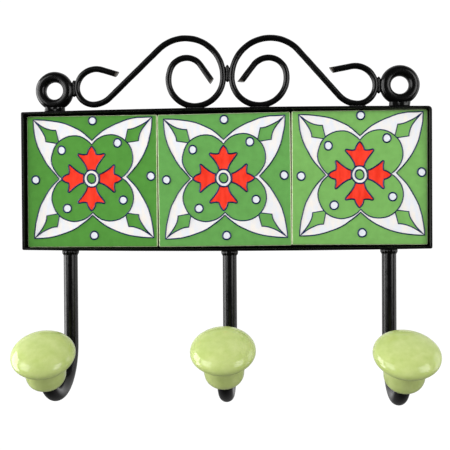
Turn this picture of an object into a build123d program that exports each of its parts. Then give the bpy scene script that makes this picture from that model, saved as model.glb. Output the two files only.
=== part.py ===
# Wall hook rack: a black iron band round three glazed tiles, scrollwork and two hanging
# eyes above it, and three bent rod hooks with ceramic knobs below it.
#
# Millimetres. Origin at the centre of the back plate's rear face, which lies on the wall.
# +X runs along the rack to the right seen from the front, +Z is up, and the front faces -Y.
from math import cos, radians, sin
import os

from build123d import *

# band round the tiles
band_length = 230.0
band_end_height = 78.4
band_bow = 0.95
band_depth = 12.0
band_wall = 1.3
band_corner = 0.9
band_worn_corner = 2.2
band_edge = 0.3

# plate that closes the band at the wall, and the beds of tile adhesive on it
plate_thickness = 1.0
bed_side = 58.0
bed_corner = 8.0
bed_thickness = 1.2

# glazed tiles: x and z of the centre, and how far each one leans
tile_side = 75.0
tile_thickness = 6.6
tile_corner = 0.9
tile_edge = 0.7
tile_places = {
    "left": (-75.2, -0.35, 0.0),
    "centre": (0.35, -0.18, -0.45),
    "right": (75.8, 0.35, 0.1),
}

# plane of the rods, halfway through the band's depth
rod_plane = -band_depth / 2

# hooks: x, height of the bend's centre, bend radius, how far the rod is bent, and its twist
hook_rod_diameter = 8.0
hook_places = {
    "left": (-88.6, -93.6, 22.4, 147.0, 1.6),
    "centre": (3.0, -91.9, 23.4, 149.8, 0.7),
    "right": (92.3, -93.2, 23.1, 148.9, 0.7),
}
hook_stub = 11.0
hook_weld_radius = 5.1
hook_weld_height = 2.6
weld_root = 0.8

# knobs, turned about the rod's end: heights run from the foot towards the crown
knob_foot_radius = 5.2
knob_neck_radius = 10.2
knob_foot_height = 6.0
knob_neck_height = 12.8
knob_cap_radius = 16.3
knob_cap_bottom = 12.9
knob_cap_top = 26.1
knob_cap_fullness = 0.78
knob_cap_start = -56.0
knob_cap_steps = 5
knob_bore_depth = 12.0
glue_thickness = 0.35

# hanging eyes
eye_places = {"left": -97.0, "right": 98.5}
eye_height = 51.85
eye_section_radius = 3.17
eye_centreline_radius = 7.88
eye_hole_radius = 4.9
eye_pad_length = 10.4
eye_pad_width = 5.6

# scrolls: start of the inner tail, its heading, then (radius, turn) for each arc and
# (0, length) for each straight; the right scroll is given mirrored in X
scroll_rod_diameter = 3.5
scroll_left_start = (-6.4, 55.75)
scroll_left_heading = 124.5
scroll_left_run = [
    (0, 11.4),
    (9.8, 131),
    (0, 1.2),
    (15.1, 107),
    (16.1, 92),
    (0, 1.2),
    (21.6, 129),
    (0, 38.9),
    (14.8, -37),
    (9.6, -112),
    (11.1, -92),
    (0, 9.4),
]
scroll_right_start = (-10.0, 55.25)
scroll_right_heading = 127.8
scroll_right_run = [
    (0, 11.85),
    (10.3, 136),
    (0, 0.6),
    (15.2, 104),
    (15.9, 85),
    (0, 0.6),
    (21.5, 136),
    (0, 34.3),
    (13.8, -43),
    (10.1, -115),
    (11.5, -81),
    (0, 11.25),
]

# weld beads, as half sizes along X, Y and Z
scroll_weld_size = (4.6, 2.0, 1.3)
meeting_weld_size = (1.5, 1.4, 4.0)
eye_scroll_weld_size = (1.9, 1.6, 4.2)
meeting_x = 2.4
meeting_height = 58.0


def band_top(x):
    """Height of the band's outer top surface above the middle of the band."""
    return band_end_height / 2 + band_bow * (1 - (2 * x / band_length) ** 2)


def band_outline(inset):
    """Outline of the band moved inwards: straight ends and long sides that bow outwards."""
    x = band_length / 2 - inset
    z = band_end_height / 2 - inset
    crown = z + band_bow
    outline = make_face(
        [
            Line((x, -z), (x, z)),
            ThreePointArc((x, z), (0, crown), (-x, z)),
            Line((-x, z), (-x, -z)),
            ThreePointArc((-x, -z), (0, -crown), (x, -z)),
        ]
    )
    for corner in outline.vertices():
        worn = corner.X > 0 and corner.Y > 0
        radius = max((band_worn_corner if worn else band_corner) - inset, band_wall / 4)
        nearest = outline.vertices().sort_by_distance((corner.X, corner.Y, 0))[0]
        outline = fillet(nearest, radius)
    return outline


def band_block():
    """Solid block of the band's outer shape, used to cut the welds and rods back to it."""
    return extrude(Plane.XZ * band_outline(0), amount=band_depth)


def make_band():
    """Flat strip bent round the tiles and welded shut, with softened edges."""
    hollow = extrude(Plane.XZ * band_outline(band_wall), amount=band_depth)
    band = band_block() - hollow
    front = band.faces().sort_by(Axis.Y)[0]
    return fillet(front.edges(), band_edge)


def make_back_plate():
    """Sheet inside the band, flush with it at the wall."""
    return extrude(Plane.XZ * band_outline(band_wall), amount=plate_thickness)


def tile_plane(place, depth):
    """Plane of a tile at a distance in front of the wall, leaning as the tile does."""
    x, z, lean = tile_places[place]
    return Plane.XZ.offset(depth) * Pos(x, z) * Rot(0, 0, -lean)


def make_adhesive_bed(place):
    """Spread bed of tile adhesive between the plate and a tile."""
    bed = RectangleRounded(bed_side, bed_side, bed_corner)
    return extrude(tile_plane(place, plate_thickness) * bed, amount=bed_thickness)


def make_tile(place):
    """Square glazed tile with a rounded rim round its face."""
    outline = RectangleRounded(tile_side, tile_side, tile_corner)
    tile = extrude(tile_plane(place, plate_thickness + bed_thickness) * outline, amount=tile_thickness)
    face = tile.faces().sort_by(Axis.Y)[0]
    return fillet(face.edges(), tile_edge)


def hook_lines(place):
    """Straight shank, bend and glued end of a hook rod, as three edges in space."""
    x, bend_height, bend_radius, bend_angle, twist = hook_places[place]
    forward = (-sin(radians(twist)), -cos(radians(twist)), 0)
    side = (forward[1], -forward[0], 0)
    plane = Plane(origin=(x, rod_plane, 0), x_dir=forward, z_dir=side)
    shank = Line((0, -band_end_height / 2 + band_wall), (0, bend_height))
    bend = JernArc(start=(0, bend_height), tangent=(0, -1), radius=bend_radius, arc_size=bend_angle)
    stub = Line(bend @ 1, bend @ 1 + (bend % 1) * hook_stub)
    return [plane * edge for edge in (shank, bend, stub)]


def swept_rod(path, diameter):
    """Round rod along a path."""
    section = Plane(origin=path @ 0, z_dir=path % 0) * Circle(diameter / 2)
    return sweep(section, path=path)


def make_hook(place, block):
    """Hook rod, cut to sit on the underside of the band."""
    return swept_rod(Wire(hook_lines(place)), hook_rod_diameter) - block


def make_hook_weld(place, hook, block):
    """Conical bead round the rod, with its wide end on the underside of the band."""
    top = -band_top(hook_places[place][0])
    bead = Cone(
        bottom_radius=hook_rod_diameter / 2 + 0.15,
        top_radius=hook_weld_radius,
        height=hook_weld_height,
        align=(Align.CENTER, Align.CENTER, Align.MAX),
    )
    root = Cylinder(hook_weld_radius, weld_root, align=(Align.CENTER, Align.CENTER, Align.MIN))
    return Pos(hook_places[place][0], rod_plane, top) * (bead + root) - hook - block


def knob_plane(place):
    """Plane at a knob's foot, facing along the rod's end."""
    bend = hook_lines(place)[1]
    return Plane(origin=bend @ 1, z_dir=bend % 1)


def cap_point(angle):
    """Point on the knob's cap at an angle above its widest level."""
    half_height = (knob_cap_top - knob_cap_bottom) / 2
    level = (knob_cap_top + knob_cap_bottom) / 2
    radius = knob_cap_radius * max(cos(radians(angle)), 0) ** knob_cap_fullness
    return (radius, level + half_height * sin(radians(angle)))


def make_knob(place):
    """Ceramic knob: rounded foot, short neck and a full mushroom cap, bored for the rod."""
    bore_radius = hook_rod_diameter / 2 + glue_thickness
    step = (90 - knob_cap_start) / knob_cap_steps
    cap = Spline(
        [cap_point(knob_cap_start + step * i) for i in range(knob_cap_steps + 1)],
        tangents=[(0.8, 0.5), (-1, 0)],
    )
    foot = EllipticalCenterArc(
        center=(knob_foot_radius, knob_foot_height),
        x_radius=knob_neck_radius - knob_foot_radius,
        y_radius=knob_foot_height,
        start_angle=-90,
        arc_size=90,
    )
    neck = Polyline((knob_neck_radius, knob_foot_height), (knob_neck_radius, knob_neck_height), cap @ 0)
    bore = Polyline(
        cap @ 1,
        (0, knob_bore_depth),
        (bore_radius, knob_bore_depth),
        (bore_radius, 0),
        (knob_foot_radius, 0),
    )
    profile = make_face([foot, neck, cap, bore])
    return knob_plane(place) * revolve(Plane.XZ * profile, axis=Axis.Z)


def make_knob_glue(place, hook):
    """Epoxy that fills the knob's bore round the rod."""
    plug = Cylinder(
        hook_rod_diameter / 2 + glue_thickness,
        knob_bore_depth,
        align=(Align.CENTER, Align.CENTER, Align.MIN),
    )
    return knob_plane(place) * plug - hook


def make_eye(side):
    """Ring of thick rod with a straight-walled hole for the hanging screw."""
    ring = Torus(eye_centreline_radius, eye_section_radius)
    ring -= Cylinder(eye_hole_radius, 4 * eye_section_radius)
    return Pos(eye_places[side], rod_plane, eye_height) * Rot(90, 0, 0) * ring


def make_eye_weld(side, eye, block):
    """Heavy bead that fills the space between an eye and the band."""
    low = band_end_height / 2 - weld_root
    height = eye_height - eye_centreline_radius - low
    pad = extrude(Ellipse(eye_pad_length / 2, eye_pad_width / 2), amount=height)
    return Pos(eye_places[side], rod_plane, low) * pad - eye - block


def scroll_path(start, heading, run):
    """Wire of tangent straights and arcs, seen from the front of the rack."""
    place = Vector(*start)
    direction = Vector(cos(radians(heading)), sin(radians(heading)))
    edges = []
    for radius, amount in run:
        if radius:
            edge = JernArc(start=place, tangent=direction, radius=radius, arc_size=amount)
        else:
            edge = Line(place, place + direction * amount)
        edges.append(edge)
        place = edge @ 1
        direction = edge % 1
    return Wire(edges)


def make_scroll(path):
    """Scroll of round rod, standing in the plane of the rods."""
    return swept_rod(Plane.XZ.offset(-rod_plane) * path, scroll_rod_diameter)


def weld_bead(x, z, half_sizes):
    """Oval weld bead, before it is cut back to the pieces that it joins."""
    half_length, half_depth, half_height = half_sizes
    bead = extrude(Ellipse(half_length, half_height), amount=half_depth, both=True)
    return Pos(x, rod_plane, z) * Rot(90, 0, 0) * bead


def curl_bottom(path, first, last):
    """X and Z where the underside of a curl comes closest to the band."""
    points = [path @ (first + (last - first) * i / 200) for i in range(201)]
    lowest = min(points, key=lambda point: point.Y)
    return lowest.X, lowest.Y - scroll_rod_diameter / 2


def curl_side(path, target_x, target_z):
    """Point of a scroll nearest to a point beside it."""
    points = [path @ (i / 800) for i in range(801)]
    return min(points, key=lambda point: (point.X - target_x) ** 2 + (point.Y - target_z) ** 2)


def save(node, shape):
    export_step(shape, f"parts/{node}.step")


os.makedirs("parts", exist_ok=True)

block = band_block()
save("band", make_band())
save("back_plate", make_back_plate())

for place in tile_places:
    save(f"adhesive_{place}", make_adhesive_bed(place))
    save(f"tile_{place}", make_tile(place))

for place in hook_places:
    hook = make_hook(place, block)
    save(f"hook_{place}", hook)
    save(f"hook_weld_{place}", make_hook_weld(place, hook, block))
    save(f"knob_{place}", make_knob(place))
    save(f"knob_glue_{place}", make_knob_glue(place, hook))

paths = {
    "left": scroll_path(scroll_left_start, scroll_left_heading, scroll_left_run),
    "right": mirror(scroll_path(scroll_right_start, scroll_right_heading, scroll_right_run), about=Plane.YZ),
}
scrolls = {side: make_scroll(path) for side, path in paths.items()}

for side, path in paths.items():
    eye = make_eye(side)
    scroll = scrolls[side]
    save(f"eye_{side}", eye)
    save(f"scroll_{side}", scroll)
    save(f"eye_weld_{side}", make_eye_weld(side, eye, block))

    x, z = curl_bottom(path, 0, 0.5)
    save(f"scroll_weld_{side}", weld_bead(x, z, scroll_weld_size) - scroll - block)

    beside_eye = curl_side(path, eye_places[side], eye_height)
    outwards = 1 if side == "right" else -1
    scroll_edge = beside_eye.X + outwards * scroll_rod_diameter / 2
    eye_edge = eye_places[side] - outwards * (eye_centreline_radius + eye_section_radius)
    side_weld = weld_bead((scroll_edge + eye_edge) / 2, beside_eye.Y, eye_scroll_weld_size)
    save(f"eye_scroll_weld_{side}", side_weld - scroll - eye)

x, z = curl_bottom(paths["right"], 0.7, 1)
save("small_curl_weld", weld_bead(x, z, scroll_weld_size) - scrolls["right"] - block)

left_side = curl_side(paths["left"], meeting_x, meeting_height)
right_side = curl_side(paths["right"], meeting_x, meeting_height)
x = (left_side.X + right_side.X) / 2
save("meeting_weld", weld_bead(x, meeting_height, meeting_weld_size) - scrolls["left"] - scrolls["right"])
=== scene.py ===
import math
import random

import bmesh
import bpy
from mathutils import Matrix, Vector, noise


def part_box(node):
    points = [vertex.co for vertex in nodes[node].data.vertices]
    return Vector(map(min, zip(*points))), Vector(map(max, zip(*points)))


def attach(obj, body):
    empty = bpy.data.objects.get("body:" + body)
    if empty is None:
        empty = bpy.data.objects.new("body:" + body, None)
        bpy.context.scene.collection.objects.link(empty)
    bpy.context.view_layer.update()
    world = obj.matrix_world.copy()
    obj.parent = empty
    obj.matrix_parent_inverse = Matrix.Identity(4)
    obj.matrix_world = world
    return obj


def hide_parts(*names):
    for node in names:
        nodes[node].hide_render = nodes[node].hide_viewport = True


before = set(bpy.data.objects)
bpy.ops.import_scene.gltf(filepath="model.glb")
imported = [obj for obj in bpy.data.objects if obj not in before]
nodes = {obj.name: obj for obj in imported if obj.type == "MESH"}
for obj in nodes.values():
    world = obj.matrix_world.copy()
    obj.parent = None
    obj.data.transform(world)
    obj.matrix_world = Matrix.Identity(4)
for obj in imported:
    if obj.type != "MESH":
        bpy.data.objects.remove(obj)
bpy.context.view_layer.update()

# A hook rack that hangs on a wall: black iron band, three glazed tiles, scrollwork, hooks and knobs.
# Everything is in metres in the frame of the CAD model; mm turns real sizes in millimetres into metres.
mm = 0.001
body = "root"
print("frame loaded:", len(nodes), "nodes")


# small helpers

def linear(hexColor):
    # sRGB hex to the linear values that shader sockets want
    channels = [int(hexColor[i:i + 2], 16) / 255 for i in (1, 3, 5)]
    return tuple(c / 12.92 if c <= 0.04045 else ((c + 0.055) / 1.055) ** 2.4 for c in channels) + (1.0,)


def addNode(tree, kind, inputs=None, **settings):
    # adds a node, sets its properties and fills its inputs with values or links
    node = tree.nodes.new(kind)
    for name, value in settings.items():
        setattr(node, name, value)
    for key, value in (inputs or {}).items():
        socket = node.inputs[key]
        if isinstance(value, bpy.types.NodeSocket):
            tree.links.new(value, socket)
        else:
            socket.default_value = value
    return node


def newMaterial(name):
    material = bpy.data.materials.new(name)
    material.use_nodes = True
    tree = material.node_tree
    tree.nodes.clear()
    shader = addNode(tree, "ShaderNodeBsdfPrincipled")
    addNode(tree, "ShaderNodeOutputMaterial", {"Surface": shader.outputs[0]})
    return material, tree, shader


def noiseOf(tree, coordinates, sizeMm, detail=2.0, roughness=0.5):
    # noise whose blobs are about sizeMm across
    return addNode(tree, "ShaderNodeTexNoise", {
        "Vector": coordinates, "Scale": 1 / (sizeMm * mm), "Detail": detail, "Roughness": roughness})


def ramp(tree, factor, stops):
    node = addNode(tree, "ShaderNodeValToRGB", {"Fac": factor})
    elements = node.color_ramp.elements
    while len(elements) < len(stops):
        elements.new(0.5)
    for element, (place, color) in zip(elements, stops):
        element.position = place
        element.color = linear(color) if isinstance(color, str) else (color, color, color, 1)
    return node


def mixOf(tree, factor, colorA, colorB):
    mix = addNode(tree, "ShaderNodeMix", {"Factor": factor, "A": colorA, "B": colorB}, data_type="RGBA")
    return mix.outputs["Result"]


def rangeOf(tree, value, found, wanted):
    # maps the range of values found onto the range wanted
    mapped = addNode(tree, "ShaderNodeMapRange", {
        "Value": value, "From Min": found[0], "From Max": found[1],
        "To Min": wanted[0], "To Max": wanted[1]})
    return mapped.outputs[0]


def scaledBy(tree, vector, scale):
    return addNode(tree, "ShaderNodeVectorMath", {0: vector, "Scale": scale}, operation="SCALE").outputs[0]


def bumpOf(tree, height, depthMm, strength=1.0, normal=None):
    inputs = {"Height": height, "Distance": depthMm * mm, "Strength": strength}
    if normal:
        inputs["Normal"] = normal
    return addNode(tree, "ShaderNodeBump", inputs)


def objectCoordinates(tree):
    return addNode(tree, "ShaderNodeTexCoord").outputs["Object"]


def addMesh(name, vertices, faces=(), edges=()):
    mesh = bpy.data.meshes.new(name)
    mesh.from_pydata([tuple(v) for v in vertices], [tuple(e) for e in edges], [tuple(f) for f in faces])
    mesh.update()
    piece = bpy.data.objects.new(name, mesh)
    bpy.context.scene.collection.objects.link(piece)
    return piece


def smooth(piece):
    piece.data.polygons.foreach_set("use_smooth", [True] * len(piece.data.polygons))
    piece.data.update()


def markPoints(piece, label, values):
    # a number on every point, for a material to read
    mark = piece.data.attributes.new(label, "FLOAT", "POINT")
    mark.data.foreach_set("value", values)


def turnFacesOut(piece):
    builder = bmesh.new()
    builder.from_mesh(piece.data)
    bmesh.ops.recalc_face_normals(builder, faces=builder.faces)
    builder.to_mesh(piece.data)
    builder.free()


def ringFaces(rows, count, closed=False):
    # quads between rows of count points, each row a closed ring
    faces = []
    for row in range(rows if closed else rows - 1):
        here, above = row * count, (row + 1) % rows * count
        for i in range(count):
            j = (i + 1) % count
            faces.append((here + i, here + j, above + j, above + i))
    return faces


def finishPiece(piece, replaced=()):
    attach(piece, body)
    if replaced:
        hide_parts(*replaced)


def applyModifiers(piece):
    # swaps the piece's mesh for the evaluated one and takes the modifiers off
    graph = bpy.context.evaluated_depsgraph_get()
    made = bpy.data.meshes.new_from_object(piece.evaluated_get(graph), depsgraph=graph)
    old = piece.data
    piece.modifiers.clear()
    piece.data = made
    bpy.data.meshes.remove(old)
    made.name = piece.name


def geometryTree(name, sockets):
    # an empty geometry tree with a Geometry input and named inputs after it
    tree = bpy.data.node_groups.new(name, "GeometryNodeTree")
    tree.interface.new_socket("Geometry", in_out="INPUT", socket_type="NodeSocketGeometry")
    tree.interface.new_socket("Geometry", in_out="OUTPUT", socket_type="NodeSocketGeometry")
    for label, kind in sockets:
        tree.interface.new_socket(label, in_out="INPUT", socket_type="NodeSocket" + kind)
    return tree, addNode(tree, "NodeGroupInput"), addNode(tree, "NodeGroupOutput")


def finishTree(tree, geometry, groupIn, groupOut):
    # the last nodes of every tree here
    real = addNode(tree, "GeometryNodeRealizeInstances", {0: geometry})
    painted = addNode(tree, "GeometryNodeSetMaterial", {
        "Geometry": real.outputs[0], "Material": groupIn.outputs["Material"]})
    tree.links.new(painted.outputs[0], groupOut.inputs[0])


def roundProfile(tree, radius, sides):
    circle = addNode(tree, "GeometryNodeCurvePrimitiveCircle", {"Resolution": sides, "Radius": radius})
    return circle.outputs[0]


def runTree(piece, tree, values):
    # puts the tree on the piece with its inputs set, then keeps only the mesh that comes out
    modifier = piece.modifiers.new(tree.name, "NODES")
    modifier.node_group = tree
    for item in tree.interface.items_tree:
        if item.in_out == "INPUT" and item.name in values:
            modifier[item.identifier] = values[item.name]
    applyModifiers(piece)


# camera, at the angle and distance of a close product shot, a little right of the middle

cameraSet = {
    "place": (0.02485, -0.403, -0.02127), "yaw": 3.514, "pitch": -0.631, "roll": -0.369, "lens": 56.08,
}

cameraData = bpy.data.cameras.new("camera")
cameraData.lens = cameraSet["lens"]
cameraData.sensor_width = 36
cameraData.clip_start = 0.01
cameraObject = bpy.data.objects.new("camera", cameraData)
turn = Matrix.Rotation(math.radians(cameraSet["yaw"]), 4, "Z")
turn = turn @ Matrix.Rotation(math.radians(90 + cameraSet["pitch"]), 4, "X")
turn = turn @ Matrix.Rotation(math.radians(cameraSet["roll"]), 4, "Z")
cameraObject.matrix_world = Matrix.Translation(cameraSet["place"]) @ turn
bpy.context.scene.collection.objects.link(cameraObject)
bpy.context.scene.camera = cameraObject
print("camera placed")


# materials

paintSet = {
    "paint": "#040404", "worn": "#0c0b0a", "bare": "#46413b", "gloss": (0.19, 0.29), "ior": 1.43,
    "peelMm": 0.9, "peelDepthMm": 0.012, "forgeMm": 7.0, "forgeDepthMm": 0.25,
    "patchMm": 5.0, "scratchMm": 1.2,
}


def satinEnamel():
    # Brushed-on satin black enamel over mild steel: deep black, soft side lights, faint orange
    # peel and the slow waves of hot-worked bar; rubbed greyer where the attribute bare says so.
    material, tree, shader = newMaterial("satinEnamelOnMildSteel")
    place = objectCoordinates(tree)
    peel = noiseOf(tree, place, paintSet["peelMm"], 3)
    forge = noiseOf(tree, place, paintSet["forgeMm"], 2)
    patches = noiseOf(tree, place, paintSet["patchMm"], 5, 0.65)
    worn = ramp(tree, patches.outputs["Fac"], [(0.60, 0.0), (0.74, 1.0)])
    color = mixOf(tree, worn.outputs[0], linear(paintSet["paint"]), linear(paintSet["worn"]))
    bareMark = addNode(tree, "ShaderNodeAttribute", attribute_name="bare")
    scratches = noiseOf(tree, place, paintSet["scratchMm"], 4, 0.7)
    broken = addNode(tree, "ShaderNodeMath", {0: bareMark.outputs["Fac"], 1: scratches.outputs["Fac"]},
                     operation="MULTIPLY")
    bareFactor = ramp(tree, broken.outputs[0], [(0.32, 0.0), (0.48, 1.0)])
    rubbed = mixOf(tree, bareFactor.outputs[0], color, linear(paintSet["bare"]))
    shiniest, dullest = paintSet["gloss"]
    gloss = rangeOf(tree, patches.outputs["Fac"], (0.3, 0.75), (shiniest, dullest))
    waves = bumpOf(tree, forge.outputs["Fac"], paintSet["forgeDepthMm"], 0.4)
    skin = bumpOf(tree, peel.outputs["Fac"], paintSet["peelDepthMm"], 0.5, waves.outputs[0])
    tree.links.new(rubbed, shader.inputs["Base Color"])
    tree.links.new(gloss, shader.inputs["Roughness"])
    tree.links.new(skin.outputs[0], shader.inputs["Normal"])
    shader.inputs["IOR"].default_value = paintSet["ior"]
    return material


glazeSet = {
    "greenLeft": "#55953f", "greenMiddle": "#67a555", "greenRight": "#7bb460",
    "white": "#f6f0e9", "whiteCool": "#e9ecf4", "dot": "#eaeef7", "red": "#fe4531", "redDark": "#ee3521",
    "line": "#1f2f63", "lineDark": "#101939", "clay": "#e4eac9", "clayDark": "#ccd8a5",
    # the knob's greyer green is glaze pooled in the neck and also a painted sheen in the groove under the
    # cap
    "knob": "#b3c472", "knobPale": "#c3d087", "knobPoolAndSheen": "#b6c27f",
    "ior": 1.52, "gloss": 0.10, "lineGloss": 0.14, "knobGloss": 0.14,
    "rippleMm": 0.05, "knobRippleMm": 0.04, "waveMm": 6.0, "pitMm": 0.8,
    "blotchMm": 4.0, "mottleMm": 5.0, "strokeMm": 3.0, "speckMm": 1.5,
    "tilePitch": 75.0, "wipedArris": (-0.85, -0.73), "wipeMm": 2.0, "wipeWander": 0.18,
}


def tileGreen(tree, place):
    # the green shifts from kiln load to kiln load, so each tile is a little lighter to the right
    parts = addNode(tree, "ShaderNodeSeparateXYZ", {"Vector": place})
    pitch = glazeSet["tilePitch"] * mm
    across = rangeOf(tree, parts.outputs["X"], (-pitch, pitch), (0.0, 1.0))
    # the colour changes at the joints, a quarter and three quarters of the way across
    steps = ramp(tree, across, [(0.0, glazeSet["greenLeft"]), (0.25, glazeSet["greenMiddle"]),
                                (0.75, glazeSet["greenRight"])])
    steps.color_ramp.interpolation = "CONSTANT"
    blotches = noiseOf(tree, place, glazeSet["blotchMm"], 4, 0.6)
    shade = rangeOf(tree, blotches.outputs["Fac"], (0.25, 0.75), (0.90, 1.08))
    return scaledBy(tree, steps.outputs[0], shade)


def finishGlaze(tree, shader, place, color, roughness=glazeSet["gloss"], rippleMm=glazeSet["rippleMm"]):
    # fired gloss glaze: sharp reflections over a slightly rippled, pooled surface
    ripple = noiseOf(tree, place, glazeSet["waveMm"], 2)
    pits = noiseOf(tree, place, glazeSet["pitMm"], 2)
    waves = bumpOf(tree, ripple.outputs["Fac"], rippleMm * 4, 0.5)
    skin = bumpOf(tree, pits.outputs["Fac"], rippleMm / 3, 0.4, waves.outputs[0])
    tree.links.new(color, shader.inputs["Base Color"])
    tree.links.new(skin.outputs[0], shader.inputs["Normal"])
    shader.inputs["Roughness"].default_value = roughness
    shader.inputs["IOR"].default_value = glazeSet["ior"]


def glazedTile():
    # Pressed earthenware tile dipped in green gloss glaze: the face is green, and the arrises and
    # sides show pale clay because they were wiped before firing.
    material, tree, shader = newMaterial("greenGlazeOnEarthenware")
    place = objectCoordinates(tree)
    green = tileGreen(tree, place)
    normal = addNode(tree, "ShaderNodeTexCoord").outputs["Normal"]
    facing = addNode(tree, "ShaderNodeSeparateXYZ", {"Vector": normal})
    wobble = noiseOf(tree, place, glazeSet["wipeMm"], 3)
    uneven = addNode(tree, "ShaderNodeMath", {
        0: wobble.outputs["Fac"], 1: glazeSet["wipeWander"], 2: facing.outputs["Y"]},
        operation="MULTIPLY_ADD")
    onFace = rangeOf(tree, uneven.outputs[0], glazeSet["wipedArris"], (1.0, 0.0))
    specks = noiseOf(tree, place, glazeSet["speckMm"], 4)
    clay = ramp(tree, specks.outputs["Fac"], [(0.35, glazeSet["clayDark"]), (0.6, glazeSet["clay"])])
    finishGlaze(tree, shader, place, mixOf(tree, onFace, clay.outputs[0], green))
    return material


def greenGlaze():
    # the same green glaze, laid inside the raised lines
    material, tree, shader = newMaterial("greenGlossGlaze")
    place = objectCoordinates(tree)
    finishGlaze(tree, shader, place, tileGreen(tree, place))
    return material


def brushedGlaze(name, colorA, colorB, roughness=glazeSet["gloss"]):
    # opaque gloss glaze put on with a brush, so it is a little streaky
    material, tree, shader = newMaterial(name)
    place = objectCoordinates(tree)
    stretch = addNode(tree, "ShaderNodeMapping", {"Vector": place, "Scale": (1.0, 1.0, 0.35)})
    streaks = noiseOf(tree, stretch.outputs[0], glazeSet["strokeMm"], 3)
    color = ramp(tree, streaks.outputs["Fac"], [(0.35, colorA), (0.65, colorB)])
    finishGlaze(tree, shader, place, color.outputs[0], roughness)
    return material


def knobGlaze():
    # Slip-cast earthenware in a yellow-green majolica glaze: glossy, thinner and paler in drifts,
    # pooled in the neck, with a little light let through. The greyer green of the pooled glaze
    # also paints the pale sheen in the groove under the cap.
    material, tree, shader = newMaterial("yellowGreenMajolicaGlaze")
    place = objectCoordinates(tree)
    mottle = noiseOf(tree, place, glazeSet["mottleMm"], 4, 0.6)
    base = ramp(tree, mottle.outputs["Fac"], [(0.3, glazeSet["knob"]), (0.7, glazeSet["knobPale"])])
    # glaze pooled in the neck; its greyer green is also a painted sheen in the groove under the cap
    poolAndSheen = addNode(tree, "ShaderNodeAttribute", attribute_name="poolAndSheen")
    color = mixOf(tree, poolAndSheen.outputs["Fac"], base.outputs[0], linear(glazeSet["knobPoolAndSheen"]))
    finishGlaze(tree, shader, place, color, glazeSet["knobGloss"], glazeSet["knobRippleMm"])
    shader.inputs["Subsurface Weight"].default_value = 0.08
    shader.inputs["Subsurface Radius"].default_value = (0.002, 0.0025, 0.001)
    return material


def setPaste(name, colorA, colorB, grainMm):
    # cement or epoxy that has set dull and grainy
    material, tree, shader = newMaterial(name)
    place = objectCoordinates(tree)
    grain = noiseOf(tree, place, grainMm, 5)
    color = ramp(tree, grain.outputs["Fac"], [(0.35, colorA), (0.65, colorB)])
    skin = bumpOf(tree, grain.outputs["Fac"], 0.15, 0.7)
    tree.links.new(color.outputs[0], shader.inputs["Base Color"])
    tree.links.new(skin.outputs[0], shader.inputs["Normal"])
    shader.inputs["Roughness"].default_value = 0.8
    return material


enamel = satinEnamel()
tileFinish = glazedTile()
greenFinish = greenGlaze()
whiteFinish = brushedGlaze("whiteTinGlaze", glazeSet["whiteCool"], glazeSet["white"])
dotFinish = brushedGlaze("whiteDotGlaze", glazeSet["whiteCool"], glazeSet["dot"])
redFinish = brushedGlaze("redSeleniumGlaze", glazeSet["redDark"], glazeSet["red"])
lineFinish = brushedGlaze("cobaltLineGlaze", glazeSet["lineDark"], glazeSet["line"],
                          glazeSet["lineGloss"])
knobFinish = knobGlaze()
cementFinish = setPaste("tileCement", "#8f8b82", "#b3aea3", 1.0)
epoxyFinish = setPaste("clearEpoxy", "#a39a73", "#c4ba92", 2.0)
print("materials made")

for name, node in nodes.items():
    finish = enamel
    if name.startswith("tile_"):
        finish = tileFinish
    elif name.startswith("adhesive_"):
        finish = cementFinish
    elif name.startswith("knob_glue"):
        finish = epoxyFinish
    elif name.startswith("knob_"):
        finish = knobFinish
    node.data.materials.clear()
    node.data.materials.append(finish)


# the painted pattern of the tiles, in millimetres from the middle of the ring

patternSet = {
    "crossings": [(0.15, 19.3), (17.2, 0.5), (0.7, -19.3), (-16.6, 0.0)],   # top, right, bottom, left
    "cusps": [(0.15, 21.8), (20.3, 0.9), (0.7, -20.9), (-18.7, 0.0)],
    "corners": [(34.6, 34.9), (35.6, -33.6), (-33.0, -34.2), (-33.9, 33.6)],  # from top right, clockwise
    "lobes": [(19.95, 21.0), (20.1, -20.3), (-19.1, -20.5), (-19.5, 20.5)],
    "cuspHandle": 13.5, "cornerHandle": 13.5, "cuspAngle": 44,
    "outerDots": [(0.4, 33.0), (34.0, 1.3), (1.5, -32.3), (-32.4, -0.7)],
    "innerDots": [(14.9, 20.1), (18.2, -12.2), (-14.0, -16.9), (-17.4, 16.2)],
    "dot": (2.25, 2.34), "ring": (4.4, 4.85), "ringHole": (2.45, 2.7),
    "fleurStretch": [1.0, 0.93, 1.0, 0.93],
    "places": {"left": (-0.1, 1.6), "centre": (-0.35, 1.0), "right": (0.05, 1.6)},
    "lean": {"left": 0.45, "centre": 0.0, "right": 0.45},
}


def bezier(a, b, c, d, steps=14):
    # points of a cubic curve, without its last one
    points = []
    for i in range(steps):
        t = i / steps
        weights = ((1 - t) ** 3, 3 * t * (1 - t) ** 2, 3 * t * t * (1 - t), t ** 3)
        points.append(tuple(sum(w * p[k] for w, p in zip(weights, (a, b, c, d))) for k in (0, 1)))
    return points


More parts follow.
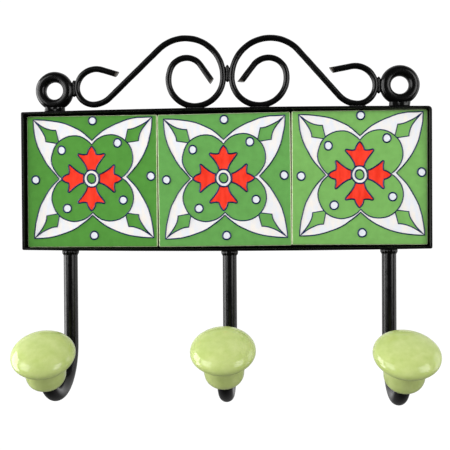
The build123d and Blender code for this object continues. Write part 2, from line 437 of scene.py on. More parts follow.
def arcThrough(a, middle, b, steps=22):
    # points of the circle through three points, from a to just before b
    (ax, ay), (bx, by), (cx, cy) = a, middle, b
    d = 2 * (ax * (by - cy) + bx * (cy - ay) + cx * (ay - by))
    sa, sb, sc = ax * ax + ay * ay, bx * bx + by * by, cx * cx + cy * cy
    ox = (sa * (by - cy) + sb * (cy - ay) + sc * (ay - by)) / d
    oy = (sa * (cx - bx) + sb * (ax - cx) + sc * (bx - ax)) / d
    radius = math.hypot(ax - ox, ay - oy)
    angles = [math.atan2(y - oy, x - ox) for x, y in (a, middle, b)]
    sweep = (angles[2] - angles[0]) % math.tau
    if (angles[1] - angles[0]) % math.tau > sweep:
        sweep -= math.tau
    turns = [angles[0] + sweep * i / steps for i in range(steps)]
    return [(ox + radius * math.cos(turn), oy + radius * math.sin(turn)) for turn in turns]


def oval(centre, radiusX, radiusY, steps=28):
    turns = [math.tau * i / steps for i in range(steps)]
    return [(centre[0] + radiusX * math.cos(turn), centre[1] + radiusY * math.sin(turn)) for turn in turns]


def stepFrom(point, direction, distance):
    return (point[0] + direction[0] * distance, point[1] + direction[1] * distance)


def starLoop():
    # outer edge of the white petals: from each cusp a curve out to the corner and one back in
    points = []
    cuspOut = patternSet["cuspHandle"]
    cornerOut = patternSet["cornerHandle"]
    tilt = math.radians(patternSet["cuspAngle"])
    for i in range(4):
        start, corner = patternSet["cusps"][i], patternSet["corners"][i]
        end = patternSet["cusps"][(i + 1) % 4]
        sideX, sideY = math.copysign(1, corner[0]), math.copysign(1, corner[1])
        leave = (sideX * math.cos(tilt), sideY * math.sin(tilt))
        # the curve arrives level and goes on upright where it started at a top or bottom cusp
        arrive, goOn = ((-sideX, 0), (0, -sideY)) if i % 2 == 0 else ((0, -sideY), (-sideX, 0))
        leaving = stepFrom(start, leave, cuspOut)
        points += bezier(start, leaving, stepFrom(corner, arrive, cornerOut), corner)
        points += bezier(corner, stepFrom(corner, goOn, cornerOut), stepFrom(end, leave, cuspOut), end)
    return points


def lobesLoop():
    # the four round green fields
    points = []
    crossings = patternSet["crossings"]
    for i in range(4):
        points += arcThrough(crossings[i], patternSet["lobes"][i], crossings[(i + 1) % 4])
    return points


def place2d(points, origin, direction, side):
    # local (along, across) points to the tile's plane
    return [(origin[0] + s * direction[0] + t * side[0], origin[1] + s * direction[1] + t * side[1])
            for s, t in points]


def leafLoop(i):
    # spade-shaped leaf from the round field out to the tile's corner
    neck, tip = patternSet["lobes"][i], patternSet["corners"][i]
    length = math.hypot(tip[0] - neck[0], tip[1] - neck[1])
    direction = ((tip[0] - neck[0]) / length, (tip[1] - neck[1]) / length)
    side = (-direction[1], direction[0])
    flank = bezier((5.5, 4.4), (7.2, 2.5), (11.5, 0.2), (length, 0.0), 10)
    local = [(0.0, 0.75)] + flank + [(length, 0.0)] + [(s, -t) for s, t in reversed(flank)] + [(0.0, -0.75)]
    return place2d(local, neck, direction, side)


def fleurLoop(i):
    # three-pointed red flower that grows out of the ring
    stretch = patternSet["fleurStretch"][i]
    direction = [(0, 1), (1, 0), (0, -1), (-1, 0)][i]
    side = (direction[1], -direction[0])
    flank = bezier((4.7, 2.5), (7.3, 2.9), (9.6, 4.6), (12.9, 7.5), 10)
    nib = bezier((12.9, 7.5), (13.7, 8.1), (14.3, 7.6), (14.0, 6.7), 6)
    bar = bezier((14.0, 6.7), (13.6, 5.2), (13.3, 3.6), (13.9, 2.5), 6)
    point = bezier((13.9, 2.5), (15.6, 2.2), (17.4, 1.3), (18.4, 0.0), 8)
    right = flank + nib + bar + point
    local = right + [(18.4, 0.0)] + [(s, -t) for s, t in reversed(right)]
    return place2d([(4.7 + (s - 4.7) * stretch, t) for s, t in local], (0, 0), direction, side)


def loopsMesh(name, loops, lift=0.0):
    # closed outlines as bare edges, drawn flat: X across the tile, Y up it, Z out of it
    vertices, edges = [], []
    for loop in loops:
        first = len(vertices)
        kept = [p for k, p in enumerate(loop) if math.dist(p, loop[k - 1]) > 1e-4]
        vertices += [(x * mm, y * mm, lift * mm) for x, y in kept]
        edges += [(first + k, first + (k + 1) % len(kept)) for k in range(len(kept))]
    return addMesh(name, vertices, edges=edges)


def tilePlaces():
    # where the pattern's ring sits on each tile, on the glazed face
    found = []
    for side in ("left", "centre", "right"):
        low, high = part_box("tile_" + side)
        dx, dz = patternSet["places"][side]
        centre = (low + high) / 2
        spot = Vector((centre.x + dx * mm, low.y, centre.z + dz * mm))
        found.append((spot, math.radians(patternSet["lean"][side])))
    return found


# heights and widths in mm; the noise scales are per metre, so 110 drifts over about 9 mm
reliefSet = {
    "wobble": 0.9, "driftScale": 110.0, "swellScale": 350.0, "swell": (0.8, 1.2),
    "thinLine": 0.34, "heavyLine": 0.46, "lineDepth": 0.13, "lineSides": 8,
    "star": 0.10, "lobes": 0.16, "fleurs": 0.22, "rings": 0.24, "ringCentres": 0.28, "dots": 0.24,
}


def copyOntoTiles(tree, geometry, groupInput):
    # three copies, one on each tile
    joined = addNode(tree, "GeometryNodeJoinGeometry")
    for side in ("Left", "Centre", "Right"):
        moved = addNode(tree, "GeometryNodeTransform", {
            "Geometry": geometry, "Translation": groupInput.outputs[side + " place"],
            "Rotation": groupInput.outputs[side + " turn"]})
        tree.links.new(moved.outputs[0], joined.inputs[0])
    return joined.outputs[0]


def wobbled(tree, geometry, groupInput):
    # the unsteady hand that drew the pattern: a slow in-plane shift, the same for fields and lines
    position = addNode(tree, "GeometryNodeInputPosition").outputs[0]
    drift = addNode(tree, "ShaderNodeTexNoise", {
        "Vector": position, "Scale": reliefSet["driftScale"], "Detail": 1.0})
    centred = addNode(tree, "ShaderNodeVectorMath", {0: drift.outputs["Color"], 1: (0.5, 0.5, 0.5)},
                      operation="SUBTRACT")
    flat = addNode(tree, "ShaderNodeVectorMath", {0: centred.outputs[0], 1: (1.0, 1.0, 0.0)},
                   operation="MULTIPLY")
    shift = scaledBy(tree, flat.outputs[0], groupInput.outputs["Wobble"])
    return addNode(tree, "GeometryNodeSetPosition", {"Geometry": geometry, "Offset": shift}).outputs[0]


tileInputs = [(side + " place", "Vector") for side in ("Left", "Centre", "Right")]
tileInputs += [(side + " turn", "Rotation") for side in ("Left", "Centre", "Right")]
tileInputs += [("Wobble", "Float"), ("Material", "Material")]


def glazeFieldTree():
    # fills each outline and gives it the thickness of a glaze pool
    tree, groupIn, groupOut = geometryTree("glazeField", [("Thickness", "Float")] + tileInputs)
    steady = wobbled(tree, groupIn.outputs[0], groupIn)
    curve = addNode(tree, "GeometryNodeMeshToCurve", {0: steady})
    filled = addNode(tree, "GeometryNodeFillCurve", {0: curve.outputs[0]})
    out = addNode(tree, "ShaderNodeCombineXYZ", {"Z": groupIn.outputs["Thickness"]})
    raised = addNode(tree, "GeometryNodeExtrudeMesh", {
        "Mesh": filled.outputs[0], "Offset": out.outputs[0], "Offset Scale": 1.0, "Individual": False})
    underside = addNode(tree, "GeometryNodeFlipFaces", {0: filled.outputs[0]})
    closed = addNode(tree, "GeometryNodeJoinGeometry", {0: raised.outputs[0]})
    tree.links.new(underside.outputs[0], closed.inputs[0])
    sealed = addNode(tree, "GeometryNodeMergeByDistance", {"Geometry": closed.outputs[0], "Distance": 1e-6})
    finishTree(tree, copyOntoTiles(tree, sealed.outputs[0], groupIn), groupIn, groupOut)
    return tree


def glazeLineTree():
    # runs a half-sunk round bead along each outline
    tree, groupIn, groupOut = geometryTree("glazeLine", [("Line radius", "Float")] + tileInputs)
    steady = wobbled(tree, groupIn.outputs[0], groupIn)
    curve = addNode(tree, "GeometryNodeMeshToCurve", {0: steady})
    position = addNode(tree, "GeometryNodeInputPosition").outputs[0]
    swell = addNode(tree, "ShaderNodeTexNoise", {
        "Vector": position, "Scale": reliefSet["swellScale"], "Detail": 1.0})
    spread = rangeOf(tree, swell.outputs["Fac"], (0.3, 0.7), reliefSet["swell"])
    sized = addNode(tree, "GeometryNodeSetCurveRadius", {"Curve": curve.outputs[0], "Radius": spread})
    profile = roundProfile(tree, groupIn.outputs["Line radius"], reliefSet["lineSides"])
    bead = addNode(tree, "GeometryNodeCurveToMesh", {"Curve": sized.outputs[0], "Profile Curve": profile})
    soft = addNode(tree, "GeometryNodeSetShadeSmooth", {0: bead.outputs[0]})
    finishTree(tree, copyOntoTiles(tree, soft.outputs[0], groupIn), groupIn, groupOut)
    return tree


fieldTree = glazeFieldTree()
lineTree = glazeLineTree()

tileValues = {"Wobble": reliefSet["wobble"] * mm}
for label, (spot, lean) in zip(("Left", "Centre", "Right"), tilePlaces()):
    tileValues[label + " place"] = spot
    tileValues[label + " turn"] = (math.pi / 2, lean, 0.0)

starLoops = [starLoop()]
lobeLoops = [lobesLoop()]
leafLoops = [leafLoop(i) for i in range(4)]
fleurLoops = [fleurLoop(i) for i in range(4)]
ringLoops = [oval((0, 0), *patternSet["ring"])]
ringHoleLoops = [oval((0, 0), *patternSet["ringHole"])]
dotPlaces = patternSet["outerDots"] + patternSet["innerDots"]
dotLoops = [oval(place, *patternSet["dot"], 20) for place in dotPlaces]

# piece name, its outlines, thickness of the glaze, material
fields = [
    ("glazeStar", starLoops, reliefSet["star"], whiteFinish),
    ("glazeLobes", lobeLoops + leafLoops, reliefSet["lobes"], greenFinish),
    ("glazeFleurs", fleurLoops, reliefSet["fleurs"], redFinish),
    ("glazeRings", ringLoops, reliefSet["rings"], whiteFinish),
    ("glazeRingCentres", ringHoleLoops, reliefSet["ringCentres"], greenFinish),
    ("glazeDots", dotLoops, reliefSet["dots"], dotFinish),
]
for name, loops, thickness, finish in fields:
    piece = loopsMesh(name, loops)
    runTree(piece, fieldTree, tileValues | {"Thickness": thickness * mm, "Material": finish})
    finishPiece(piece)

# the thin outlines of the white and green fields, the heavy ones of everything small
lineSets = [
    ("glazeLines", starLoops + lobeLoops + leafLoops, reliefSet["thinLine"]),
    ("glazeHeavyLines", fleurLoops + ringLoops + ringHoleLoops + dotLoops, reliefSet["heavyLine"]),
]
for name, loops, radius in lineSets:
    piece = loopsMesh(name, loops, reliefSet["lineDepth"])
    runTree(piece, lineTree, tileValues | {"Line radius": radius * mm, "Material": lineFinish})
    finishPiece(piece)
print("tile pattern laid on:", len(fields) + len(lineSets), "pieces")


# scrolls, one bent rod each, drawn in the plane of the rods

# each run is (bend radius in mm, degrees turned), or (0, length in mm) where the rod is straight
scrollSet = {
    "rodRadius": 1.75, "plane": -6.0, "sides": 20, "dents": 0.35, "dentScale": 160.0, "bareEnd": 3.5,
    "shearDepth": 0.3, "shearReach": 2.6, "straightStep": 1.5,
    "left": {
        "start": (-6.4, 55.75), "heading": 124.5, "mirror": 1, "slants": (-0.4, 0.35),
        "run": [(0, 11.4), (9.8, 131), (0, 1.2), (15.1, 107), (16.1, 92), (0, 1.2), (21.6, 129),
                (0, 38.9), (14.8, -37), (9.6, -112), (11.1, -92), (0, 9.4)]},
    "right": {
        "start": (-10.0, 55.25), "heading": 127.8, "mirror": -1, "slants": (0.65, 0.5),
        "run": [(0, 11.85), (10.3, 136), (0, 0.6), (15.2, 104), (15.9, 85), (0, 0.6), (21.5, 136),
                (0, 34.3), (13.8, -43), (10.1, -115), (11.5, -81), (0, 11.25)]},
}


def runPoints(settings, stepMm=0.8):
    # follows the bends of one scroll
    x, z = settings["start"]
    heading = math.radians(settings["heading"])
    points = [(x, z)]
    for radius, amount in settings["run"]:
        if radius:
            turned = math.radians(amount)
            count = max(2, round(abs(turned) * radius / stepMm))
            for _ in range(count):
                half = turned / count / 2
                chord = 2 * radius * math.sin(abs(half))
                heading += half
                x += chord * math.cos(heading)
                z += chord * math.sin(heading)
                heading += half
                points.append((x, z))
        else:
            count = max(1, round(amount / scrollSet["straightStep"]))
            for _ in range(count):
                x += amount / count * math.cos(heading)
                z += amount / count * math.sin(heading)
                points.append((x, z))
    return [(settings["mirror"] * px, pz) for px, pz in points]


def rodTree():
    # round rod along a line of edges: hand-bent, so its thickness wanders and its skin is hammered
    tree, groupIn, groupOut = geometryTree("bentRod", [
        ("Rod radius", "Float"), ("Dents", "Float"), ("Bare end", "Float"), ("Material", "Material")])
    curve = addNode(tree, "GeometryNodeMeshToCurve", {0: groupIn.outputs[0]})
    along = addNode(tree, "GeometryNodeSplineParameter")
    length = addNode(tree, "GeometryNodeSplineLength")
    toEnd = addNode(tree, "ShaderNodeMath", {0: length.outputs["Length"], 1: along.outputs["Length"]},
                    operation="SUBTRACT")
    nearest = addNode(tree, "ShaderNodeMath", {0: toEnd.outputs[0], 1: along.outputs["Length"]},
                      operation="MINIMUM")
    bare = addNode(tree, "ShaderNodeMapRange", {
        "Value": nearest.outputs[0], "From Min": 0.0, "From Max": groupIn.outputs["Bare end"],
        "To Min": 1.0, "To Max": 0.0})
    marked = addNode(tree, "GeometryNodeStoreNamedAttribute", {
        "Geometry": curve.outputs[0], "Name": "bare", "Value": bare.outputs[0]},
        domain="POINT", data_type="FLOAT")
    profile = roundProfile(tree, groupIn.outputs["Rod radius"], scrollSet["sides"])
    rod = addNode(tree, "GeometryNodeCurveToMesh", {
        "Curve": marked.outputs[0], "Profile Curve": profile, "Fill Caps": True})
    position = addNode(tree, "GeometryNodeInputPosition").outputs[0]
    broad = addNode(tree, "ShaderNodeTexNoise", {
        "Vector": position, "Scale": scrollSet["dentScale"], "Detail": 2.0})
    centred = addNode(tree, "ShaderNodeMath", {0: broad.outputs["Fac"], 1: 0.5}, operation="SUBTRACT")
    depth = addNode(tree, "ShaderNodeMath", {0: centred.outputs[0], 1: groupIn.outputs["Dents"]},
                    operation="MULTIPLY")
    normal = addNode(tree, "GeometryNodeInputNormal").outputs[0]
    push = scaledBy(tree, normal, depth.outputs[0])
    dented = addNode(tree, "GeometryNodeSetPosition", {"Geometry": rod.outputs[0], "Offset": push})
    finishTree(tree, dented.outputs[0], groupIn, groupOut)
    return tree


def smoothByAngle(piece, degrees=40):
    # smooth shading with the sharp edges kept
    smooth(piece)
    piece.data.set_sharp_from_angle(angle=math.radians(degrees))


def shearEnds(rod, spine, slants):
    # the rod was cropped with shears, so each end is cut at a slant
    depth, reach = scrollSet["shearDepth"] * mm, scrollSet["shearReach"] * mm
    for (centre, before), slant in zip(((spine[0], spine[1]), (spine[-1], spine[-2])), slants):
        centre, before = Vector(centre), Vector(before)
        ahead = (centre - before).normalized()
        upward = Vector((-ahead.z, 0, ahead.x))
        upward = upward if upward.z > 0 else -upward
        for vertex in rod.data.vertices:
            away = vertex.co - centre
            if abs(away.dot(ahead)) < depth and away.length < reach:
                vertex.co += ahead * away.dot(upward) * slant


bentRod = rodTree()
rodValues = {
    "Rod radius": scrollSet["rodRadius"] * mm, "Dents": scrollSet["dents"] * mm,
    "Bare end": scrollSet["bareEnd"] * mm, "Material": enamel,
}
for side in ("left", "right"):
    spine = [(x * mm, scrollSet["plane"] * mm, z * mm) for x, z in runPoints(scrollSet[side])]
    scroll = addMesh("scrollRod_" + side, spine, edges=[(k, k + 1) for k in range(len(spine) - 1)])
    runTree(scroll, bentRod, rodValues)
    shearEnds(scroll, spine, scrollSet[side]["slants"])
    smoothByAngle(scroll)
    finishPiece(scroll, ["scroll_" + side])
print("scrolls bent")


# weld beads: melted puddles that join the rods to the band

# sizes in mm; "drop" is the half size of one drop of weld metal along X, Y and Z
weldSet = {
    "seed": 7, "smoothing": 0.6, "uneven": (0.9, 1.12),
    "scroll": {"names": ("scroll_weld_left", "scroll_weld_right", "small_curl_weld"),
               "drops": 5, "drop": (1.35, 1.9, 1.05), "span": 0.72,
               "skin": {"voxel": 0.28, "rough": 0.03, "bare": 0.08, "relax": 7}},
    "gap": {"reach": {"meeting_weld": 3.0, "eye_scroll_weld_left": 2.8, "eye_scroll_weld_right": 2.8},
            "lift": {"meeting_weld": 2.0, "eye_scroll_weld_left": 0.2, "eye_scroll_weld_right": 0.2},
            "drops": 9, "drop": (0.75, 1.25, 2.0), "endDrop": (0.95, 1.1, 1.3), "endStep": 0.5,
            "spread": 0.03,
            "skin": {"voxel": 0.25, "rough": 0.01, "bare": 0.0, "relax": 12}},
    "eye": {"names": ("eye_weld_left", "eye_weld_right"), "spread": 0.04, "drops": 5,
            "passes": [(3.0, 1.1, (2.9, 2.9, 1.5)), (3.4, 2.6, (2.5, 2.8, 1.7))],
            "skin": {"voxel": 0.3, "rough": 0.01, "bare": 0.0, "relax": 24}},
    "hook": {"names": ("hook_weld_left", "hook_weld_centre", "hook_weld_right"),
             "drops": 14, "radius": 3.75, "spread": 0.08, "lean": 0.98,
             "heap": (1.15, 1.15, 1.7), "heapBelow": 0.9, "taller": (-0.15, 0.25),
             "run": (0.7, 0.7, 1.1), "runBelow": 2.1, "core": (4.2, 4.2, 1.0), "coreBelow": 1.1,
             "skin": {"voxel": 0.32, "rough": 0.03, "bare": 0.08, "relax": 7}},
}
dice = random.Random(weldSet["seed"])


def weldBlob(name, balls, skin):
    # overlapping balls melted into one skin; each ball is (x, y, z, radiusX, radiusY, radiusZ) in mm
    builder = bmesh.new()
    for x, y, z, rx, ry, rz in balls:
        shape = Matrix.Translation(Vector((x, y, z)) * mm) @ Matrix.Diagonal((rx * mm, ry * mm, rz * mm, 1))
        bmesh.ops.create_icosphere(builder, subdivisions=3, radius=1, matrix=shape)
    piece = addMesh("bead_" + name, [])
    builder.to_mesh(piece.data)
    builder.free()
    remesh = piece.modifiers.new("melt", "REMESH")
    remesh.mode = "VOXEL"
    remesh.voxel_size = skin["voxel"] * mm
    relax = piece.modifiers.new("relax", "SMOOTH")
    relax.iterations = skin["relax"]
    relax.factor = weldSet["smoothing"]
    applyModifiers(piece)
    for vertex in piece.data.vertices:
        # broad waves with finer ones over them
        ripple = noise.noise(vertex.co / (1.1 * mm)) * 0.6 + noise.noise(vertex.co / (0.5 * mm)) * 0.3
        vertex.co += vertex.normal * ripple * skin["rough"] * mm
    markPoints(piece, "bare", [skin["bare"]] * len(piece.data.vertices))
    smooth(piece)
    piece.data.materials.append(enamel)
    finishPiece(piece, [name])


def boxCentre(name):
    # middle and half size of a CAD piece's box, in mm
    low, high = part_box(name)
    return (low + high) / 2 / mm, (high - low) / 2 / mm


def beadRow(start, end, count, size, spread=0.12):
    # stacked drops of a weld pass from start to end
    balls = []
    for i in range(count):
        t = i / max(count - 1, 1)
        centre = [a + (b - a) * t + dice.uniform(-spread, spread) for a, b in zip(start, end)]
        balls.append((*centre, *[s * dice.uniform(*weldSet["uneven"]) for s in size]))
    return balls


def scrollWeld(name):
    # a short bead along the band, under the lowest point of a curl
    w = weldSet["scroll"]
    middle, half = boxCentre(name)
    out = Vector((half.x * w["span"], 0, 0))
    width, depth, height = w["drop"]
    balls = beadRow(middle - out, middle + out, w["drops"], (width, depth, half.z * height))
    weldBlob(name, balls, w["skin"])


def gapWeld(name):
    # a thin pass down the gap between two rods, sunk behind their fronts, thicker at both ends
    w = weldSet["gap"]
    middle, half = boxCentre(name)
    bottom = middle + Vector((0, 0, w["lift"][name] - w["reach"][name]))
    top = middle + Vector((0, 0, w["lift"][name] + w["reach"][name]))
    step = Vector((0, 0, w["endStep"]))
    width, depth, height = w["drop"]
    endWidth, endDepth, endHeight = w["endDrop"]
    endSize = (half.x * endWidth, endDepth, endHeight)
    balls = beadRow(bottom, top, w["drops"], (half.x * width, depth, height), w["spread"])
    balls += beadRow(bottom, bottom + step, 2, endSize, w["spread"])
    balls += beadRow(top - step, top, 2, endSize, w["spread"])
    weldBlob(name, balls, w["skin"])


def eyeWeld(name):
    # two passes heaped into a fillet that carries the eye
    w = weldSet["eye"]
    middle, half = boxCentre(name)
    balls = []
    for reach, height, size in w["passes"]:
        level = Vector((middle.x, middle.y, middle.z - half.z + height))
        out = Vector((reach, 0, 0))
        balls += beadRow(level - out, level + out, w["drops"], size, w["spread"])
    weldBlob(name, balls, w["skin"])


def hookCollar(name):
    # a ring of drops round the top of the hook, with thinner ones running down the rod
    w = weldSet["hook"]
    middle, half = boxCentre(name)
    top = Vector((middle.x, middle.y, middle.z + half.z))
    balls = []
    for i in range(w["drops"]):
        angle = math.tau * i / w["drops"]
        reach = w["radius"] + dice.uniform(-w["spread"], w["spread"])
        outward = Vector((math.cos(angle), math.sin(angle), 0)) * reach
        heap = top + outward - Vector((0, 0, w["heapBelow"]))
        run = top + outward * w["lean"] - Vector((0, 0, w["runBelow"]))
        width, depth, height = w["heap"]
        balls.append((*heap, width, depth, height + dice.uniform(*w["taller"])))
        balls.append((*run, *w["run"]))
    balls.append((*(top - Vector((0, 0, w["coreBelow"]))), *w["core"]))
    weldBlob(name, balls, w["skin"])


for name in weldSet["scroll"]["names"]:
    scrollWeld(name)
for name in weldSet["gap"]["reach"]:
    gapWeld(name)
for name in weldSet["eye"]["names"]:
    eyeWeld(name)
for name in weldSet["hook"]["names"]:
    hookCollar(name)
print("welds melted on")


# hanging eyes: thick rings, forged over a bar so the hole's wall is straight

eyeSet = {
    "inner": 4.9, "outer": 11.05, "halfDepth": 3.17, "flattened": 0.62, "segments": 96, "section": 28,
    "lump": 0.14,
}


def makeEye(side):
    e = eyeSet
    middle, _ = boxCentre("eye_" + side)
    halfWidth = (e["outer"] - e["inner"]) / 2
    centre = (e["outer"] + e["inner"]) / 2
    vertices = []
    for i in range(e["segments"]):
        angle = math.tau * i / e["segments"]
        outward = Vector((math.cos(angle), 0, math.sin(angle)))
        for j in range(e["section"]):
            turned = math.tau * j / e["section"]
            across, depth = math.cos(turned), math.sin(turned)
            # the hole side is flattened, the outer side stays round
            power = e["flattened"] if across < 0 else 1.0
            radial = math.copysign(abs(across) ** power, across) * halfWidth
            lump = noise.noise(outward * 1.6 + Vector((middle.x, depth, 0))) * e["lump"] * (across + 1) / 2
            backward = Vector((0, -depth * (e["halfDepth"] + lump * 0.5), 0))
            vertices.append((middle + outward * (centre + radial + lump) + backward) * mm)
    eye = addMesh("eyeRing_" + side, vertices, ringFaces(e["segments"], e["section"], closed=True))
    turnFacesOut(eye)
    smooth(eye)
    eye.data.materials.append(enamel)
    finishPiece(eye, ["eye_" + side])


for side in ("left", "right"):
    makeEye(side)
print("eyes forged")


# knobs, slip-cast and dipped

# "hooks" repeats the hooks' own values: x, height of the bend's centre, its radius, its angle, its twist
knobSet = {
    "neckRadius": 10.2, "footRadius": 5.2, "footHeight": 6.0, "boreRadius": 4.15, "boreDepth": 12.0,
    "capRadius": 16.3, "capBottom": 12.9, "capTop": 26.1, "fullness": 0.80, "capStart": -52.0,
    "footSteps": 8, "capSteps": 34, "segments": 96, "lump": 0.22, "gluedFrom": 14.0,
    "glued": {"left": (6.0, 0.98), "centre": (0.0, 1.0), "right": (0.0, 1.0)},   # degrees askew, cap size
    "lumpPlace": {"left": 3.0, "centre": 11.0, "right": 23.0},
    "hooks": {"left": (-88.6, -93.6, 22.4, 147.0, 1.6), "centre": (3.0, -91.9, 23.4, 149.8, 0.7),
              "right": (92.3, -93.2, 23.1, 148.9, 0.7)},
}


def knobProfile():
    # half section from the bore's rim, round the foot, neck and cap, to the crown: radius, height, pooled
    # glaze and painted sheen
    k = knobSet
    bore, neck, foot = k["boreRadius"], k["neckRadius"], k["footRadius"]
    points = [(bore, k["boreDepth"], 0.5), (bore, 6.0, 0.5), (bore, 0.6, 0.5), (bore + 0.35, 0.05, 0.4)]
    for i in range(k["footSteps"] + 1):
        angle = math.radians(-90 + 90 * i / k["footSteps"])
        radius = foot + (neck - foot) * math.cos(angle)
        points.append((radius, k["footHeight"] * (1 + math.sin(angle)), 0.25))
    # the neck swells a little, then draws in under the cap, where the glaze pools and the groove gets a
    # painted sheen
    points += [(neck + 0.15, 7.4, 0.15), (neck + 0.28, 9.0, 0.2), (neck + 0.3, 10.4, 0.3),
               (neck + 0.2, 11.6, 0.5), (neck + 0.05, 12.5, 0.85), (neck + 0.05, 13.2, 1.0),
               (neck + 0.3, 13.8, 1.0)]
    halfHeight = (k["capTop"] - k["capBottom"]) / 2
    level = (k["capTop"] + k["capBottom"]) / 2
    for i in range(k["capSteps"]):
        angle = math.radians(k["capStart"] + (90 - k["capStart"]) * i / k["capSteps"])
        # pooled glaze and painted groove sheen, fading out up the cap's underside
        poolAndSheen = max(0.0, 0.85 - i / 6)
        radius = k["capRadius"] * math.cos(angle) ** k["fullness"]
        points.append((radius, level + halfHeight * math.sin(angle), poolAndSheen))
    return points


def hookEnd(side):
    # where the hook's rod ends, which way it points there, and which way the hook reaches forward
    x, bendHeight, radius, bend, twist = knobSet["hooks"][side]
    forward = Vector((-math.sin(math.radians(twist)), -math.cos(math.radians(twist)), 0))
    bent = math.radians(bend)
    start = Vector((x, scrollSet["plane"], bendHeight - radius * math.sin(bent)))
    axis = forward * math.sin(bent) - Vector((0, 0, math.cos(bent)))
    return start + forward * radius * (1 - math.cos(bent)), axis, forward


def makeKnob(side):
    k = knobSet
    foot, axis, forward = hookEnd(side)
    askew, capSize = k["glued"][side]
    axis = Matrix.Rotation(math.radians(askew), 3, "Y") @ axis
    across = axis.cross(forward).normalized()
    depth = axis.cross(across)
    profile = knobProfile()
    count = k["segments"]
    vertices, poolAndSheenShares = [], []
    for r, h, poolAndSheen in profile:
        if h >= k["gluedFrom"]:
            r *= capSize
        for i in range(count):
            angle = math.tau * i / count
            outward = across * math.cos(angle) + depth * math.sin(angle)
            lump = 0.0
            if r > 4.6:     # the bore stays true
                lump = noise.noise(outward * 0.9 + Vector((k["lumpPlace"][side], h / 14, 0))) * k["lump"]
            vertices.append((foot + outward * (r + lump * min(1.0, r / 10)) + axis * (h + lump * 0.4)) * mm)
            poolAndSheenShares.append(poolAndSheen)
    # fans close the crown and the bottom of the bore
    last = (len(profile) - 1) * count
    vertices += [(foot + axis * k["capTop"]) * mm, (foot + axis * k["boreDepth"]) * mm]
    poolAndSheenShares += [0.0, 0.5]
    faces = ringFaces(len(profile), count)
    faces += [(last + i, last + (i + 1) % count, len(vertices) - 2) for i in range(count)]
    faces += [((i + 1) % count, i, len(vertices) - 1) for i in range(count)]
    knob = addMesh("knobBody_" + side, vertices, faces)
    # marks the pooled glaze and the painted sheen in the groove under the cap
    markPoints(knob, "poolAndSheen", poolAndSheenShares)
    turnFacesOut(knob)
    smooth(knob)
    knob.data.materials.append(knobFinish)
    finishPiece(knob, ["knob_" + side])


for side in ("left", "centre", "right"):
    makeKnob(side)
print("knobs turned")


# floor, surroundings and lights

# brightness of the surroundings: seen directly, in matt surfaces, and in reflections from the front
# to the back; the floor's side of the room reflects darker still
stageSet = {
    "floorLevel": -1.2, "floorSize": 6.0, "floorColor": "#f4f4f2", "floorGlow": 0.8,
    "seen": 1.05, "matt": 0.27, "frontToBack": (0.05, 0.85), "lowToLevel": (0.2, 1.0),
}

reach = stageSet["floorSize"] / 2
ground = stageSet["floorLevel"]
corners = [(x * reach, y * reach, ground) for x, y in ((-1, -1), (1, -1), (1, 1), (-1, 1))]
floor = addMesh("floor", corners, [(0, 1, 2, 3)])
# matt paint that the camera sees evenly lit, so that it fades into the pale surroundings
floorFinish, floorTree, floorShader = newMaterial("palePaintedFloor")
floorRays = addNode(floorTree, "ShaderNodeLightPath")
floorShader.inputs["Base Color"].default_value = linear(stageSet["floorColor"])
floorShader.inputs["Roughness"].default_value = 0.9
floorShader.inputs["Emission Color"].default_value = linear(stageSet["floorColor"])
glowShare = addNode(floorTree, "ShaderNodeMath", {
    0: floorRays.outputs["Is Camera Ray"], 1: stageSet["floorGlow"]}, operation="MULTIPLY")
floorTree.links.new(glowShare.outputs[0], floorShader.inputs["Emission Strength"])
floor.data.materials.append(floorFinish)
floor.visible_glossy = False      # keeps the undersides of the rods black

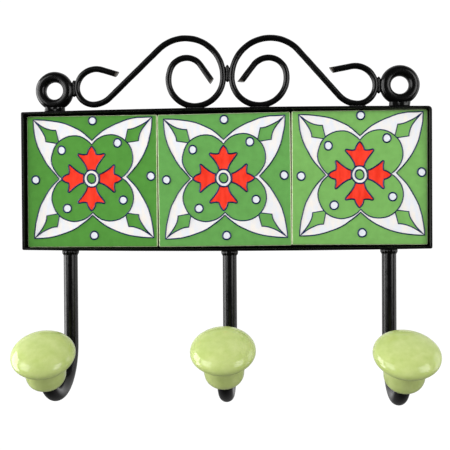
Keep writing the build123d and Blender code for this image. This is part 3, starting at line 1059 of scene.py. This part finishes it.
# white to the camera; in reflections a white backdrop behind the rack and a dim room in front
surround = bpy.data.worlds.new("paleStudio")
surround.use_nodes = True
studio = surround.node_tree
studio.nodes.clear()
rays = addNode(studio, "ShaderNodeLightPath")
direction = addNode(studio, "ShaderNodeTexCoord").outputs["Generated"]
towards = addNode(studio, "ShaderNodeSeparateXYZ", {"Vector": direction})
backdrop = rangeOf(studio, towards.outputs["Y"], (-0.25, 0.45), stageSet["frontToBack"])
level = rangeOf(studio, towards.outputs["Z"], (-0.45, -0.05), stageSet["lowToLevel"])
room = addNode(studio, "ShaderNodeMath", {0: backdrop, 1: level}, operation="MULTIPLY")
bounced = rangeOf(studio, rays.outputs["Is Glossy Ray"], (0.0, 1.0), (stageSet["matt"], room.outputs[0]))
strength = rangeOf(studio, rays.outputs["Is Camera Ray"], (0.0, 1.0), (bounced, stageSet["seen"]))
glow = addNode(studio, "ShaderNodeBackground", {"Color": linear("#ffffff"), "Strength": strength})
addNode(studio, "ShaderNodeOutputWorld", {"Surface": glow.outputs[0]})
bpy.context.scene.world = surround
bpy.context.scene.view_settings.view_transform = "Standard"

# soft boxes: place, what they point at, width, height, watts, seen in reflections or not
softBoxes = {
    "keyAbove": ((-0.05, -0.75, 0.55), (0, 0, -0.02), 0.9, 0.5, 2.7, False),
    "windowLeft": ((-0.58, -0.56, 0.17), (0, -0.03, -0.08), 0.40, 0.60, 2.8, True),
    "windowRight": ((0.58, -0.56, 0.15), (0, -0.03, -0.08), 0.40, 0.60, 2.8, True),
    "sideLeft": ((-0.80, -0.06, 0.05), (0, -0.01, 0), 0.45, 0.9, 8.0, True),
    "sideRight": ((0.80, 0.04, 0.05), (0, -0.01, 0), 0.35, 0.9, 1.6, True),
}
for name, (place, target, width, height, watts, mirrored) in softBoxes.items():
    data = bpy.data.lights.new(name, "AREA")
    data.shape = "RECTANGLE"
    data.size = width
    data.size_y = height
    data.energy = watts
    lamp = bpy.data.objects.new(name, data)
    lamp.visible_glossy = mirrored
    aim = (Vector(target) - Vector(place)).to_track_quat("-Z", "Y").to_matrix().to_4x4()
    lamp.matrix_world = Matrix.Translation(place) @ aim
    bpy.context.scene.collection.objects.link(lamp)
print("stage lit")
